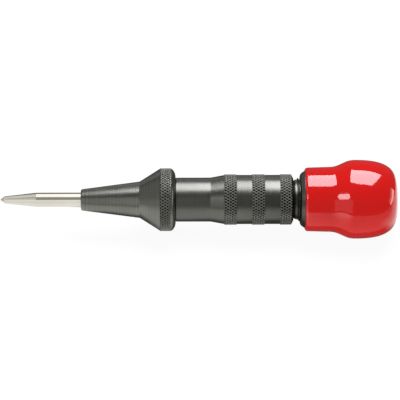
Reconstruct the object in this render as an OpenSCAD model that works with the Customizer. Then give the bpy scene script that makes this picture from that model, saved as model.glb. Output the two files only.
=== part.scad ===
// Automatic center punch: pressed down by hand, it cocks a hammer, trips it and strikes by itself.
// All sizes are millimetres. The axis runs along X: the tip is at the origin, the cap at +X.

/* [Point] */
// Diameter of the blunt end of the tip
tip_blunt_d = 0.4; // [0.2:0.1:0.8]
// Diameter where the tip cone meets the long taper
tip_d = 2.8; // [2:0.1:3.6]
// Length of the tip cone
tip_l = 1.6; // [1:0.1:2.4]
// Length of the long taper behind the tip cone
taper_l = 11.9; // [8:0.1:16]
// Diameter of the parallel shank
shank_d = 5.5; // [4.5:0.1:6]
// Length of parallel shank that shows in front of the nose
shank_out = 17; // [14:0.5:24]

/* [Plunger] */
// Diameter of the plunger that holds the point
plunger_d = 8.4; // [7.6:0.1:9]
// Length of the plunger
plunger_l = 12; // [11:0.5:16]
// Depth of the socket that holds the shank
point_seat_l = 6; // [4:0.5:7]
// Distance from the plunger's rear face in to the centre of the ball seat
ball_seat_l = 2.4; // [1.5:0.1:2.8]

/* [Trip pin] */
// Diameter of the ball at the front of the trip pin
ball_d = 4; // [3.8:0.1:5]
// Diameter of the neck between ball and collar
pin_neck_d = 3.4; // [2.6:0.1:3.6]
// Distance from the ball centre to the collar
pin_neck_l = 8.4; // [6:0.1:10]
// Diameter of the collar that carries the return spring
collar_d = 8; // [7.6:0.1:8.6]
// Width of the collar
collar_w = 2.2; // [1.5:0.1:3]
// Diameter of the stem that pushes the hammer
stem_d = 3.2; // [2.6:0.1:3.6]
// Length of the lead-in cone between hub and stem
hub_lead = 1.8; // [1:0.1:2.4]
// Depth that the hub enters the barrel's step when the pin trips
hub_entry = 1; // [0.6:0.1:1.6]
// Lean of the pin at rest, in degrees, which keeps the stem off the hammer's hole
pin_lean = 3; // [2:0.1:3.6]
// Travel of the point from rest to the trip
stroke = 10; // [7:0.5:12]

/* [Nose] */
// Diameter of the slim cone at its front edge
nose_tip_d = 8.1; // [7.6:0.1:10]
// Bevel on the front edge
nose_bevel = 0.35; // [0.2:0.05:0.5]
// Diameter of the slim cone at its rear
nose_neck_d = 13.8; // [12.5:0.1:15]
// Length of the slim cone
nose_cone_l = 22.2; // [20:0.1:26]
// Length of the flare between the slim cone and the ring
flare_l = 7.9; // [6:0.1:10]
// Diameter of the knurled ring
ring_d = 23.8; // [20:0.1:27]
// Width of the knurled part of the ring
ring_w = 3.8; // [2:0.1:6]
// Radius of the ring's rear edge
ring_round = 1.9; // [0.5:0.1:2.5]
// Length of the bore that guides the shank
guide_l = 13.45; // [11:0.05:15]
// Major diameter of the threaded spigot that screws into the barrel
spigot_d = 13; // [12.6:0.1:13.6]
// Room between the end of the spigot and the barrel's step
spigot_room = 2; // [1:0.1:4]

/* [Barrel] */
// Diameter of the slim waist behind the nose
waist_d = 16.65; // [16:0.05:18]
// Length of the waist
waist_l = 13.1; // [10:0.1:18]
// Length of the curve from the waist up to the grip
swell_l = 5.1; // [3:0.1:8]
// Diameter of the plain lands between the knurled bands
land_d = 18.6; // [18:0.05:20]
// Height of the knurled bands over the lands
band_rise = 0.25; // [0.1:0.05:0.4]
// Number of knurled bands
band_count = 3; // [2:1:4]
// Width of a knurled band
band_w = 4.9; // [3:0.1:7]
// Width of a plain land
land_w = 5.65; // [3:0.05:8]
// Length of the bevel on the rear shoulder
shoulder_bevel_l = 1.05; // [0.5:0.05:1.5]
// Depth of the bevel on the rear shoulder
shoulder_bevel_h = 1.4; // [0.4:0.05:1.6]
// Diameter of the thread relief behind the shoulder
relief_d = 14.9; // [14.2:0.1:15.4]
// Length of the thread relief
relief_l = 1.65; // [1:0.05:3]
// Major diameter of the rear thread
thread_d = 16.6; // [16:0.1:17]
// Length of the rear thread
thread_l = 13.8; // [10:0.1:16]
// Lead of the rear thread
thread_pitch = 1.25; // [0.75:0.25:1.5]
// Diameter of the bore that the hammer runs in
bore_d = 12; // [11.4:0.1:12.4]
// Thickness of the inner step that the hammer rests on
step_w = 2; // [1.5:0.1:3]

/* [Hammer] */
// Length of the hammer without its spring pilot
hammer_l = 24; // [16:0.5:28]
// Depth of the hole that the stem drops into
strike_depth = 9; // [6:0.5:12]
// Diameter of the pilots that hold the main spring
pilot_d = 6.8; // [5:0.1:7]
// Length of the pilots that hold the main spring
pilot_l = 5; // [2:0.5:6]

/* [Springs] */
// Wire diameter of the main spring
main_wire_d = 1.8; // [1.2:0.1:2]
// Outside diameter of the main spring
main_coil_d = 11.4; // [11:0.1:11.6]
// Turns of the main spring
main_turns = 9; // [6:1:10]
// Wire diameter of the return spring
return_wire_d = 0.6; // [0.4:0.05:0.7]
// Turns of the return spring
return_turns = 5; // [3:1:6]
// Length of the return spring when it is pressed flat
return_solid_l = 3.8; // [3:0.1:5]

/* [Cap] */
// Gap between the barrel's shoulder and the cap
cap_gap = 2.75; // [2.7:0.05:5]
// Turns that the cap can still be screwed in
turns_in = 2; // [0:0.5:2]
// Diameter of the cap's front face
lip_face_d = 18.8; // [18:0.1:20]
// Length of the front bevel
lip_bevel_l = 0.5; // [0.3:0.1:1]
// Height of the front bevel
lip_bevel_h = 0.7; // [0.3:0.1:1]
// Length of bare steel in front of the cover
lip_l = 2; // [1:0.1:4]
// Width of the thrust disc
seat_w = 2.5; // [1.5:0.1:4]
// Height of the thrust disc's nib
nib_h = 0.8; // [0.4:0.1:1.5]
// Diameter of the thrust disc's nib
nib_d = 5; // [3:0.1:6]
// Thickness of the cap's solid end
roof_l = 8.9; // [4:0.1:12]

/* [Cover] */
// Length of the soft cover
cover_l = 34.7; // [32:0.1:40]
// Wall of the cover
cover_wall = 1.2; // [0.8:0.05:1.4]
// Diameter of the cover at its mouth
mouth_d = 23.9; // [23.4:0.1:25]
// Radius of the cover's front edge
mouth_round = 0.45; // [0.2:0.05:0.5]
// Diameter at the rear of the neck
neck_d = 24.2; // [23.6:0.1:26]
// Largest diameter of the bulb
bulb_d = 29.8; // [29:0.1:33]
// Slope between the neck and the bulb, in degrees
bulb_slope = 24; // [20:1:26]
// Radius of the hollow curve at the neck
hollow_r = 7.4; // [4:0.1:9]
// Radius of the shoulder of the bulb
bulb_r = 7.9; // [5:0.1:9]
// Length of the crown behind the bulb's largest diameter
crown_l = 16.4; // [14:0.1:20]
// Fullness of the crown's side
crown_side = 2.6; // [2:0.1:4]
// Fullness of the crown's end
crown_end = 4.1; // [2:0.1:5]

/* [Fits] */
// Radial clearance of shafts and of the hammer
running_gap = 0.05; // [0.02:0.01:0.1]
// Clearance between fixed faces and in threads
face_gap = 0.05; // [0.02:0.01:0.1]
// Clearance between resting faces of moving pieces
rest_gap = 0.1; // [0.05:0.01:0.2]
// Side clearance round springs and the leaning pin
side_gap = 0.2; // [0.1:0.05:0.3]
// Room left where the cap is screwed fully in
end_room = 0.5; // [0.3:0.1:1]
// Bevel on inner edges
edge = 0.4; // [0.2:0.05:0.6]

/* [Hidden] */

round_fn = 96;
curve_steps = 8;
crown_steps = 18;
wire_sides = 6;
rings_per_turn = 8;
past = 1;

// Places along the axis, from the tip to the nose's rear face
shank_x = tip_l + taper_l;
nose_x = shank_x + shank_out;
nose_neck_x = nose_x + nose_cone_l;
ring_x = nose_neck_x + flare_l;
ring_end_x = ring_x + ring_w;
nose_rear_x = ring_end_x + ring_round;

// Places along the axis of the plunger, the trip pin and the barrel's step
plunger_x = nose_x + guide_l + face_gap;
plunger_end_x = plunger_x + plunger_l;
point_end_x = plunger_x + point_seat_l - face_gap;
pivot_x = plunger_end_x - ball_seat_l;
collar_x = pivot_x + pin_neck_l;
collar_end_x = collar_x + collar_w;
step_x = collar_end_x + stroke + return_solid_l;
step_end_x = step_x + step_w;
spigot_end_x = step_x - spigot_room;
hub_end_x = step_x + hub_entry - stroke;
stem_end_x = step_end_x;
hammer_x = step_end_x + rest_gap;
hammer_end_x = hammer_x + hammer_l;

// Places along the axis of the barrel's outside
barrel_x = nose_rear_x + face_gap;
waist_end_x = barrel_x + waist_l;
grip_x = waist_end_x + swell_l;
shoulder_x = grip_x + band_count * band_w + (band_count - 1) * land_w;
thread_x = shoulder_x + relief_l;
barrel_end_x = thread_x + thread_l;

// Places along the axis of the cap, its cover and the thrust disc
lip_x = shoulder_x + cap_gap;
mouth_x = lip_x + lip_l;
end_x = mouth_x + cover_l;
bulb_x = end_x - crown_l;
roof_x = end_x - cover_wall - roof_l;
cap_shoulder_x = barrel_end_x + turns_in * thread_pitch + end_room;
nib_x = roof_x - face_gap;
seat_end_x = nib_x - nib_h;
seat_x = seat_end_x - seat_w;

// The step's hole clears the leaning stem, and the hub fills the hole when the pin is upright
function lean_at(x, lean = pin_lean) = (x - pivot_x) * sin(lean);
step_hole_d = stem_d + 2 * (lean_at(step_end_x) + running_gap);
hub_d = step_hole_d - 4 * running_gap;
chamber_d = collar_d + 2 * (lean_at(collar_end_x) + 2 * side_gap);
plunger_bore_d = plunger_d + 4 * running_gap;
ball_seat_d = ball_d + 2 * running_gap;
strike_hole_d = stem_d + 6 * running_gap;
band_d = land_d + 2 * band_rise;
spring_bore_d = bore_d + 2 * side_gap;
seat_d = spring_bore_d - 4 * running_gap;

// The coils' centre lines: the return spring's front leans with the pin that it pushes,
// and a coil is nearest the axis in the middle of its straight steps
step_reach = cos(180 / rings_per_turn);
main_coil_r = (main_coil_d - main_wire_d) / 2;
return_front_r = ((hub_d + return_wire_d) / 2 + side_gap) / step_reach;
return_rear_r = (chamber_d - return_wire_d) / 2 - side_gap;
main_path = coil_path(
    hammer_end_x + side_gap + main_wire_d / 2, seat_x - side_gap - main_wire_d / 2,
    main_coil_r, main_coil_r, main_turns, 0
);
return_path = coil_path(
    collar_end_x + side_gap + return_wire_d / 2, step_x - side_gap - return_wire_d / 2,
    return_front_r, return_rear_r, return_turns, pin_lean
);
echo(str("main spring, least gap to itself: ", least_gap(main_path, main_wire_d), " mm"));
echo(str("return spring, least gap to itself: ", least_gap(return_path, return_wire_d), " mm"));

// Points of an arc about [x, r]: angle 0 points along +X and angle 90 points outwards
function arc(x, r, radius, from, to) = [
    for (i = [0:curve_steps])
        let (a = from + (to - from) * i / curve_steps)
        [x + radius * cos(a), r + radius * sin(a)]
];

// Curve that leaves the waist flat and rises to the grip
function swell_curve(rise) =
    let (radius = (swell_l * swell_l + rise * rise) / (2 * rise))
    arc(waist_end_x, waist_d / 2 + radius, radius, -90, -90 + asin(swell_l / radius));

// Outline of the cover, set in by a distance, from the neck over the bulb to the rear centre
function bulb_curve(inset) =
    let (
        rise = (bulb_d - neck_d) / 2,
        bends = hollow_r + bulb_r,
        slope_l = (rise - bends * (1 - cos(bulb_slope))) / sin(bulb_slope),
        hollow_x = bulb_x - bends * sin(bulb_slope) - slope_l * cos(bulb_slope)
    )
    concat(
        arc(hollow_x, neck_d / 2 + hollow_r, hollow_r + inset, -90, -90 + bulb_slope),
        arc(bulb_x, bulb_d / 2 - bulb_r, bulb_r - inset, 90 + bulb_slope, 90),
        [
            for (i = [1:crown_steps])
                let (a = 90 * i / crown_steps)
                [
                    bulb_x + (crown_l - inset) * pow(sin(a), 2 / crown_side),
                    (bulb_d / 2 - inset) * pow(cos(a), 2 / crown_end)
                ]
        ]
    );

// Centre line of a coil whose radius may change and whose front may lean with the trip pin
function coil_path(x0, x1, r0, r1, turns, lean) = [
    for (i = [0:turns * rings_per_turn])
        let (
            t = i / (turns * rings_per_turn),
            a = 360 * turns * t,
            r = r0 + (r1 - r0) * t,
            x = x0 + (x1 - x0) * t
        )
        [x, r * sin(a), r * cos(a) + lean_at(x, lean) * (1 - t)]
];

// Smallest free space between turns of a coil
function least_gap(path, wire_d) = min([
    for (i = [0:len(path) - 1])
        for (j = [i + rings_per_turn / 2:1:len(path) - 1])
            norm(path[i] - path[j])
]) - wire_d;

function unit(v) = v / norm(v);

// One ring of wire round a point of a coil's centre line
function wire_ring(path, i, wire_d) =
    let (
        ahead = path[min(i + 1, len(path) - 1)],
        behind = path[max(i - 1, 0)],
        along = unit(ahead - behind),
        out = unit(cross(along, [1, 0, 0])),
        side = cross(along, out)
    )
    [
        for (k = [0:wire_sides - 1])
            let (a = 360 * k / wire_sides)
            path[i] + wire_d / 2 * (cos(a) * out + sin(a) * side)
    ];

// Solid turned about X from an outline of [x, radius] points
module turned(outline) {
    rotate([0, 90, 0])
        rotate_extrude($fn = round_fn)
            polygon([for (p = outline) [p[1], p[0]]]);
}

// Round hole or pin along X
module round_bar(x0, x1, d) {
    translate([x0, 0, 0])
        rotate([0, 90, 0])
            cylinder(h = x1 - x0, d = d, $fn = round_fn);
}

// Bevelled mouth of a hole of diameter d, which opens from x0 towards x1
module mouth_bevel(x0, x1, d) {
    turned([[x0, 0], [x0, d / 2], [x1, d / 2 + abs(x1 - x0)], [x1, 0]]);
}

// Wire of round section along a centre line
module wire(path, wire_d) {
    n = len(path);
    last = (n - 1) * wire_sides;
    points = [for (i = [0:n - 1]) each wire_ring(path, i, wire_d)];
    skin = [
        for (i = [0:n - 2])
            for (k = [0:wire_sides - 1])
                let (
                    a = i * wire_sides + k,
                    b = i * wire_sides + (k + 1) % wire_sides,
                    c = b + wire_sides,
                    d = a + wire_sides
                )
                each [[a, b, c], [a, c, d]]
    ];
    front = [for (k = [1:wire_sides - 2]) [0, k + 1, k]];
    rear = [for (k = [1:wire_sides - 2]) [last, last + k, last + k + 1]];
    polyhedron(points = points, faces = concat(skin, front, rear), convexity = 10);
}

// Hardened point: ground tip, long taper and a parallel shank seated in the plunger
module punch_point() {
    color([0.74, 0.72, 0.68])
        turned([
            [0, 0],
            [0, tip_blunt_d / 2],
            [tip_l, tip_d / 2],
            [shank_x, shank_d / 2],
            [point_end_x - edge, shank_d / 2],
            [point_end_x, shank_d / 2 - edge],
            [point_end_x, 0]
        ]);
}

// Plunger: holds the point in front and the trip pin's ball behind
module plunger() {
    color([0.45, 0.45, 0.46])
        difference() {
            turned([
                [plunger_x, 0],
                [plunger_x, plunger_d / 2 - edge],
                [plunger_x + edge, plunger_d / 2],
                [plunger_end_x - edge, plunger_d / 2],
                [plunger_end_x, plunger_d / 2 - edge],
                [plunger_end_x, 0]
            ]);
            round_bar(plunger_x - past, plunger_x + point_seat_l, shank_d + 2 * face_gap);
            translate([pivot_x, 0, 0])
                sphere(d = ball_seat_d, $fn = round_fn);
            round_bar(pivot_x, plunger_end_x + past, ball_seat_d + 2 * side_gap);
        }
}

// Trip pin: leans off the axis at rest, and is stood upright by its hub at the end of the stroke
module trip_pin() {
    color([0.52, 0.52, 0.53])
        translate([pivot_x, 0, 0])
            rotate([0, -pin_lean, 0])
                translate([-pivot_x, 0, 0]) {
                    translate([pivot_x, 0, 0])
                        sphere(d = ball_d, $fn = round_fn);
                    turned([
                        [pivot_x, 0],
                        [pivot_x, pin_neck_d / 2],
                        [collar_x, pin_neck_d / 2],
                        [collar_x, collar_d / 2],
                        [collar_end_x, collar_d / 2],
                        [collar_end_x, hub_d / 2],
                        [hub_end_x, hub_d / 2],
                        [hub_end_x + hub_lead, stem_d / 2],
                        [stem_end_x, stem_d / 2],
                        [stem_end_x, 0]
                    ]);
                }
}

// Return spring: light cone that pushes the point out and leans the trip pin
module return_spring() {
    color([0.62, 0.62, 0.64])
        wire(return_path, return_wire_d);
}

// Nose: slim cone, flare and knurled ring in front, threaded spigot behind
module nose_cone() {
    color([0.16, 0.16, 0.17])
        difference() {
            turned(concat(
                [
                    [nose_x, 0],
                    [nose_x, nose_tip_d / 2 - nose_bevel],
                    [nose_x + nose_bevel, nose_tip_d / 2],
                    [nose_neck_x, nose_neck_d / 2],
                    [ring_x, ring_d / 2]
                ],
                arc(ring_end_x, ring_d / 2 - ring_round, ring_round, 90, 0),
                [
                    [nose_rear_x, spigot_d / 2],
                    [spigot_end_x - edge, spigot_d / 2],
                    [spigot_end_x, spigot_d / 2 - edge],
                    [spigot_end_x, 0]
                ]
            ));
            round_bar(nose_x - past, plunger_x, shank_d + 2 * running_gap);
            round_bar(plunger_x - face_gap, plunger_end_x, plunger_bore_d);
            round_bar(plunger_end_x, spigot_end_x + past, chamber_d);
        }
}

// Barrel: waist, swell and knurled bands outside, step and hammer bore inside, thread behind
module barrel() {
    color([0.13, 0.13, 0.14])
        difference() {
            turned(concat(
                [
                    [barrel_x, 0],
                    [barrel_x, waist_d / 2 - edge],
                    [barrel_x + edge, waist_d / 2]
                ],
                swell_curve((land_d - waist_d) / 2),
                [
                    for (i = [0:band_count - 1])
                        let (x = grip_x + i * (band_w + land_w))
                        each [
                            [x, land_d / 2],
                            [x + band_rise, band_d / 2],
                            if (i < band_count - 1) [x + band_w - band_rise, band_d / 2],
                            if (i < band_count - 1) [x + band_w, land_d / 2]
                        ]
                ],
                [
                    [shoulder_x - shoulder_bevel_l, band_d / 2],
                    [shoulder_x, band_d / 2 - shoulder_bevel_h],
                    [shoulder_x, relief_d / 2],
                    [thread_x, relief_d / 2],
                    [thread_x + edge, thread_d / 2],
                    [barrel_end_x - edge, thread_d / 2],
                    [barrel_end_x, thread_d / 2 - edge],
                    [barrel_end_x, 0]
                ]
            ));
            round_bar(barrel_x - past, step_x, spigot_d + 2 * face_gap);
            round_bar(step_x - past, step_end_x + past, step_hole_d);
            round_bar(step_end_x, barrel_end_x + past, bore_d);
            mouth_bevel(barrel_end_x - edge, barrel_end_x + past, bore_d);
        }
}

// Hammer: heavy slug whose hole misses the leaning stem until the pin is upright
module hammer() {
    color([0.4, 0.4, 0.41])
        difference() {
            turned([
                [hammer_x, 0],
                [hammer_x, bore_d / 2 - running_gap - edge],
                [hammer_x + edge, bore_d / 2 - running_gap],
                [hammer_end_x - edge, bore_d / 2 - running_gap],
                [hammer_end_x, bore_d / 2 - running_gap - edge],
                [hammer_end_x, pilot_d / 2],
                [hammer_end_x + pilot_l - edge, pilot_d / 2],
                [hammer_end_x + pilot_l, pilot_d / 2 - edge],
                [hammer_end_x + pilot_l, 0]
            ]);
            round_bar(hammer_x - past, hammer_x + strike_depth, strike_hole_d);
        }
}

// Main spring: drives the hammer
module main_spring() {
    color([0.58, 0.58, 0.6])
        wire(main_path, main_wire_d);
}

// Thrust disc: lets the cap turn against the main spring
module spring_seat() {
    color([0.5, 0.5, 0.51])
        turned([
            [seat_x - pilot_l, 0],
            [seat_x - pilot_l, pilot_d / 2 - edge],
            [seat_x - pilot_l + edge, pilot_d / 2],
            [seat_x, pilot_d / 2],
            [seat_x, seat_d / 2],
            [seat_end_x, seat_d / 2],
            [seat_end_x, nib_d / 2],
            [nib_x, nib_d / 2 - nib_h],
            [nib_x, 0]
        ]);
}

// Cap: threaded steel knob that sets the spring force
module cap_core() {
    inset = cover_wall + face_gap;
    color([0.17, 0.17, 0.18])
        difference() {
            turned(concat(
                [
                    [lip_x, 0],
                    [lip_x, lip_face_d / 2],
                    [lip_x + lip_bevel_l, lip_face_d / 2 + lip_bevel_h],
                    [mouth_x, mouth_d / 2 - inset]
                ],
                bulb_curve(inset)
            ));
            round_bar(lip_x - past, cap_shoulder_x, thread_d + 2 * face_gap);
            round_bar(cap_shoulder_x - past, roof_x, spring_bore_d);
        }
}

// Cover: soft red shell over the cap
module cap_cover() {
    color([0.8, 0.05, 0.05])
        difference() {
            turned(concat(
                [[mouth_x, 0]],
                arc(mouth_x + mouth_round, mouth_d / 2 - mouth_round, mouth_round, 180, 90),
                bulb_curve(0)
            ));
            turned(concat(
                [
                    [mouth_x - past, 0],
                    [mouth_x - past, mouth_d / 2 - cover_wall]
                ],
                bulb_curve(cover_wall)
            ));
        }
}

punch_point();
plunger();
trip_pin();
return_spring();
nose_cone();
barrel();
hammer();
main_spring();
spring_seat();
cap_core();
cap_cover();
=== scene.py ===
"""Looks of an automatic center punch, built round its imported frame.

Lengths in the classes are millimetres; the axis runs along X, with the tip at the origin.
"""

import logging
import math
from collections.abc import Callable
from dataclasses import dataclass
from enum import Enum

import bmesh
import bpy
from mathutils import Matrix, Quaternion, Vector


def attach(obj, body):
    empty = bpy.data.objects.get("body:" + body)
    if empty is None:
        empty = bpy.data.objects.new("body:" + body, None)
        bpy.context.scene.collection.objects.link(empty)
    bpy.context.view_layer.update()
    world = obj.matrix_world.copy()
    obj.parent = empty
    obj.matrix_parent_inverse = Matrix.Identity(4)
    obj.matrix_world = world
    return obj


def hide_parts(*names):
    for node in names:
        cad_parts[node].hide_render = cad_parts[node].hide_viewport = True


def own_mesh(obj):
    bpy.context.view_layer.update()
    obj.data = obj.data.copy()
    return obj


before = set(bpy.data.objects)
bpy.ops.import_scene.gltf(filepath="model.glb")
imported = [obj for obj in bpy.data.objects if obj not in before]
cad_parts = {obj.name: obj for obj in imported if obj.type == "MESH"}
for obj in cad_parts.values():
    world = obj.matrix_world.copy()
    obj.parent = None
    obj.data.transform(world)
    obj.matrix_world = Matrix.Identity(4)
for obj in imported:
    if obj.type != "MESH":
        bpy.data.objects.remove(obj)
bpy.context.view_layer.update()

LOG = logging.getLogger("center_punch")
MM = 0.001
WELD = 0.0005 * MM
# Solids that are joined or trimmed reach this far past one another, in millimetres
LAP = 0.05
# A face whose normal has less than this along X belongs to a side and not to an end
LEVEL = 0.5
# Sockets of a Mix node's colours, which share their names with those of its numbers
MIX_FIRST, MIX_SECOND, MIX_RESULT = 6, 7, 2
POINT = "punch_point_ground"
NOSE = "nose_cone_turned"
BARREL = "barrel_knurled"
CORE = "cap_core_turned"
COVER = "cap_cover_dipped"

Socket = bpy.types.NodeSocket
Pair = tuple[float, float]
Outline = list[Pair]
Colour = tuple[float, float, float]
Value = float | Socket
Pieces = list[bpy.types.Object]

# Tint of the lamps that stand for daylight
COOL: Colour = (0.99, 0.99, 1.06)


class Part(Enum):
    """Kind of mesh element that is picked in edit mode."""

    VERTEX = "VERT"
    EDGE = "EDGE"
    FACE = "FACE"


class Joinery(Enum):
    """How one solid is combined with another."""

    ADD = "UNION"
    KEEP_SHARED = "INTERSECT"


def arc(x: float, radius: float, bend: float, start: float, end: float, steps: int) -> Outline:
    """Gives the points of an arc about a centre.

    Args:
        x: Centre along the axis.
        radius: Centre's distance from the axis.
        bend: Radius of the arc.
        start: First angle in degrees; 0 points along +X and 90 outwards.
        end: Last angle in degrees.
        steps: Number of straight steps.

    Returns:
        Points of [x, radius].
    """
    points = []
    for i in range(steps + 1):
        angle = math.radians(start + (end - start) * i / steps)
        points.append((x + bend * math.cos(angle), radius + bend * math.sin(angle)))
    return points


def fillet(before: Pair, corner: Pair, after: Pair, bend: float, steps: int = 5) -> Outline:
    """Rounds one corner of an outline.

    Args:
        before: Point ahead of the corner.
        corner: The sharp corner.
        after: Point behind the corner.
        bend: Radius of the rounding.
        steps: Number of straight steps.

    Returns:
        Points that take the corner's place.
    """
    back = (Vector(before) - Vector(corner)).normalized()
    ahead = (Vector(after) - Vector(corner)).normalized()
    half = back.angle(ahead) / 2
    run = bend / math.tan(half)
    centre = Vector(corner) + (back + ahead).normalized() * bend / math.sin(half)
    first = Vector(corner) + back * run - centre
    last = Vector(corner) + ahead * run - centre
    points = []
    for i in range(steps + 1):
        spoke = first.normalized().slerp(last.normalized(), i / steps)
        points.append(tuple(centre + spoke * bend))
    return points


def rounded(outline: Outline, bends: dict[int, float]) -> Outline:
    """Rounds some corners of an outline.

    Args:
        outline: Points of [x, radius].
        bends: Radius of the rounding by the corner's index.

    Returns:
        The outline with arcs in place of those corners.
    """
    points = []
    for i, corner in enumerate(outline):
        if i in bends:
            points += fillet(outline[i - 1], corner, outline[(i + 1) % len(outline)], bends[i])
        else:
            points.append(corner)
    return points


def clear_selection() -> None:
    """Leaves edit mode and deselects every object."""
    if bpy.context.object and bpy.context.object.mode != "OBJECT":
        bpy.ops.object.mode_set(mode="OBJECT")
    bpy.ops.object.select_all(action="DESELECT")


def choose(piece: bpy.types.Object) -> None:
    """Makes one piece the only selected and active one.

    Args:
        piece: The piece.
    """
    clear_selection()
    piece.select_set(True)
    bpy.context.view_layer.objects.active = piece


def pick(piece: bpy.types.Object, part: Part, test: Callable[..., bool]) -> None:
    """Selects elements of a piece that is in edit mode.

    Args:
        piece: The piece.
        part: Kind of element to pick.
        test: Says whether an element is picked.
    """
    bpy.ops.mesh.select_mode(type=part.value)
    bpy.ops.mesh.select_all(action="DESELECT")
    mesh = bmesh.from_edit_mesh(piece.data)
    elements = {Part.VERTEX: mesh.verts, Part.EDGE: mesh.edges, Part.FACE: mesh.faces}[part]
    for element in elements:
        element.select_set(test(element))
    bmesh.update_edit_mesh(piece.data)


def draw(name: str, outline: Outline) -> bpy.types.Object:
    """Draws an outline in the plane of X and Z by extruding one vertex along it.

    Args:
        name: Name of the new piece.
        outline: Points of [x, radius]; a closed outline ends where it starts.

    Returns:
        The wire outline, left in edit mode with all of it selected.
    """
    clear_selection()
    bpy.ops.mesh.primitive_plane_add(size=MM, location=(0, 0, 0), enter_editmode=True)
    piece = bpy.context.object
    piece.name = name
    bpy.ops.mesh.select_mode(type=Part.VERTEX.value)
    bpy.ops.mesh.merge(type="CENTER")
    x, radius = outline[0]
    bpy.ops.transform.translate(value=(x * MM, 0, radius * MM))
    for place, following in zip(outline, outline[1:]):
        step = ((following[0] - place[0]) * MM, 0, (following[1] - place[1]) * MM)
        bpy.ops.mesh.extrude_region_move(TRANSFORM_OT_translate={"value": step})
    bpy.ops.mesh.select_all(action="SELECT")
    bpy.ops.mesh.remove_doubles(threshold=WELD)
    return piece


def weld() -> None:
    """Merges doubles of the mesh in edit mode and turns its faces outwards."""
    bpy.ops.mesh.select_all(action="SELECT")
    bpy.ops.mesh.remove_doubles(threshold=WELD)
    bpy.ops.mesh.normals_make_consistent(inside=False)


def turn(name: str, outline: Outline, segments: int = 128) -> bpy.types.Object:
    """Turns a piece on a lathe: an outline that is spun round the axis.

    Args:
        name: Name of the new piece.
        outline: Points of [x, radius], which is closed or has both ends on the axis.
        segments: Number of steps round the axis.

    Returns:
        The turned piece, in object mode.
    """
    piece = draw(name, outline)
    bpy.ops.mesh.spin(steps=segments, angle=math.tau, center=(0, 0, 0), axis=(1, 0, 0))
    weld()
    bpy.ops.object.mode_set(mode="OBJECT")
    return piece


def clear_slivers() -> None:
    """Turns the active piece's mesh into triangles and takes out those without area."""
    bpy.ops.object.mode_set(mode="EDIT")
    bpy.ops.mesh.select_all(action="SELECT")
    bpy.ops.mesh.dissolve_degenerate(threshold=WELD)
    bpy.ops.mesh.quads_convert_to_tris(quad_method="BEAUTY", ngon_method="BEAUTY")
    bpy.ops.mesh.dissolve_degenerate(threshold=WELD)
    bpy.ops.object.mode_set(mode="OBJECT")


def combine(piece: bpy.types.Object, other: bpy.types.Object, how: Joinery) -> None:
    """Combines a piece with another, which is used up.

    Args:
        piece: The piece that is changed.
        other: The piece that is combined with it.
        how: Way to combine them.
    """
    choose(piece)
    join = piece.modifiers.new("join", "BOOLEAN")
    join.operation = how.value
    join.solver = "MANIFOLD"
    join.object = other
    bpy.ops.object.modifier_apply(modifier=join.name)
    bpy.data.objects.remove(other)
    clear_slivers()


def copy_along(piece: bpy.types.Object, shift: float) -> bpy.types.Object:
    """Copies a piece, mesh and all, to another place along the axis.

    Args:
        piece: The piece to copy.
        shift: Distance along X.

    Returns:
        The copy.
    """
    choose(piece)
    bpy.ops.object.duplicate()
    bpy.ops.transform.translate(value=(shift * MM, 0, 0))
    bpy.ops.object.transform_apply(location=True, rotation=True, scale=True)
    return bpy.context.object


def sweep(piece: bpy.types.Object, lead: float, turns: float, steps: int, right_hand: bool) -> None:
    """Sweeps a closed section along a helix about X and closes both ends.

    Args:
        piece: The section, as a closed wire in object mode.
        lead: Travel along X in one turn.
        turns: Number of turns.
        steps: Number of steps in a turn.
        right_hand: Whether the helix is right-handed.
    """
    choose(piece)
    screw = piece.modifiers.new("helix", "SCREW")
    screw.axis = "X"
    screw.angle = math.tau * turns * (1 if right_hand else -1)
    screw.screw_offset = lead * turns * MM
    screw.steps = screw.render_steps = round(steps * turns)
    screw.use_normal_calculate = True
    bpy.ops.object.modifier_apply(modifier=screw.name)
    bpy.ops.object.mode_set(mode="EDIT")
    bpy.ops.mesh.select_all(action="SELECT")
    bpy.ops.mesh.fill_holes(sides=0)
    weld()
    bpy.ops.object.mode_set(mode="OBJECT")


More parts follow.
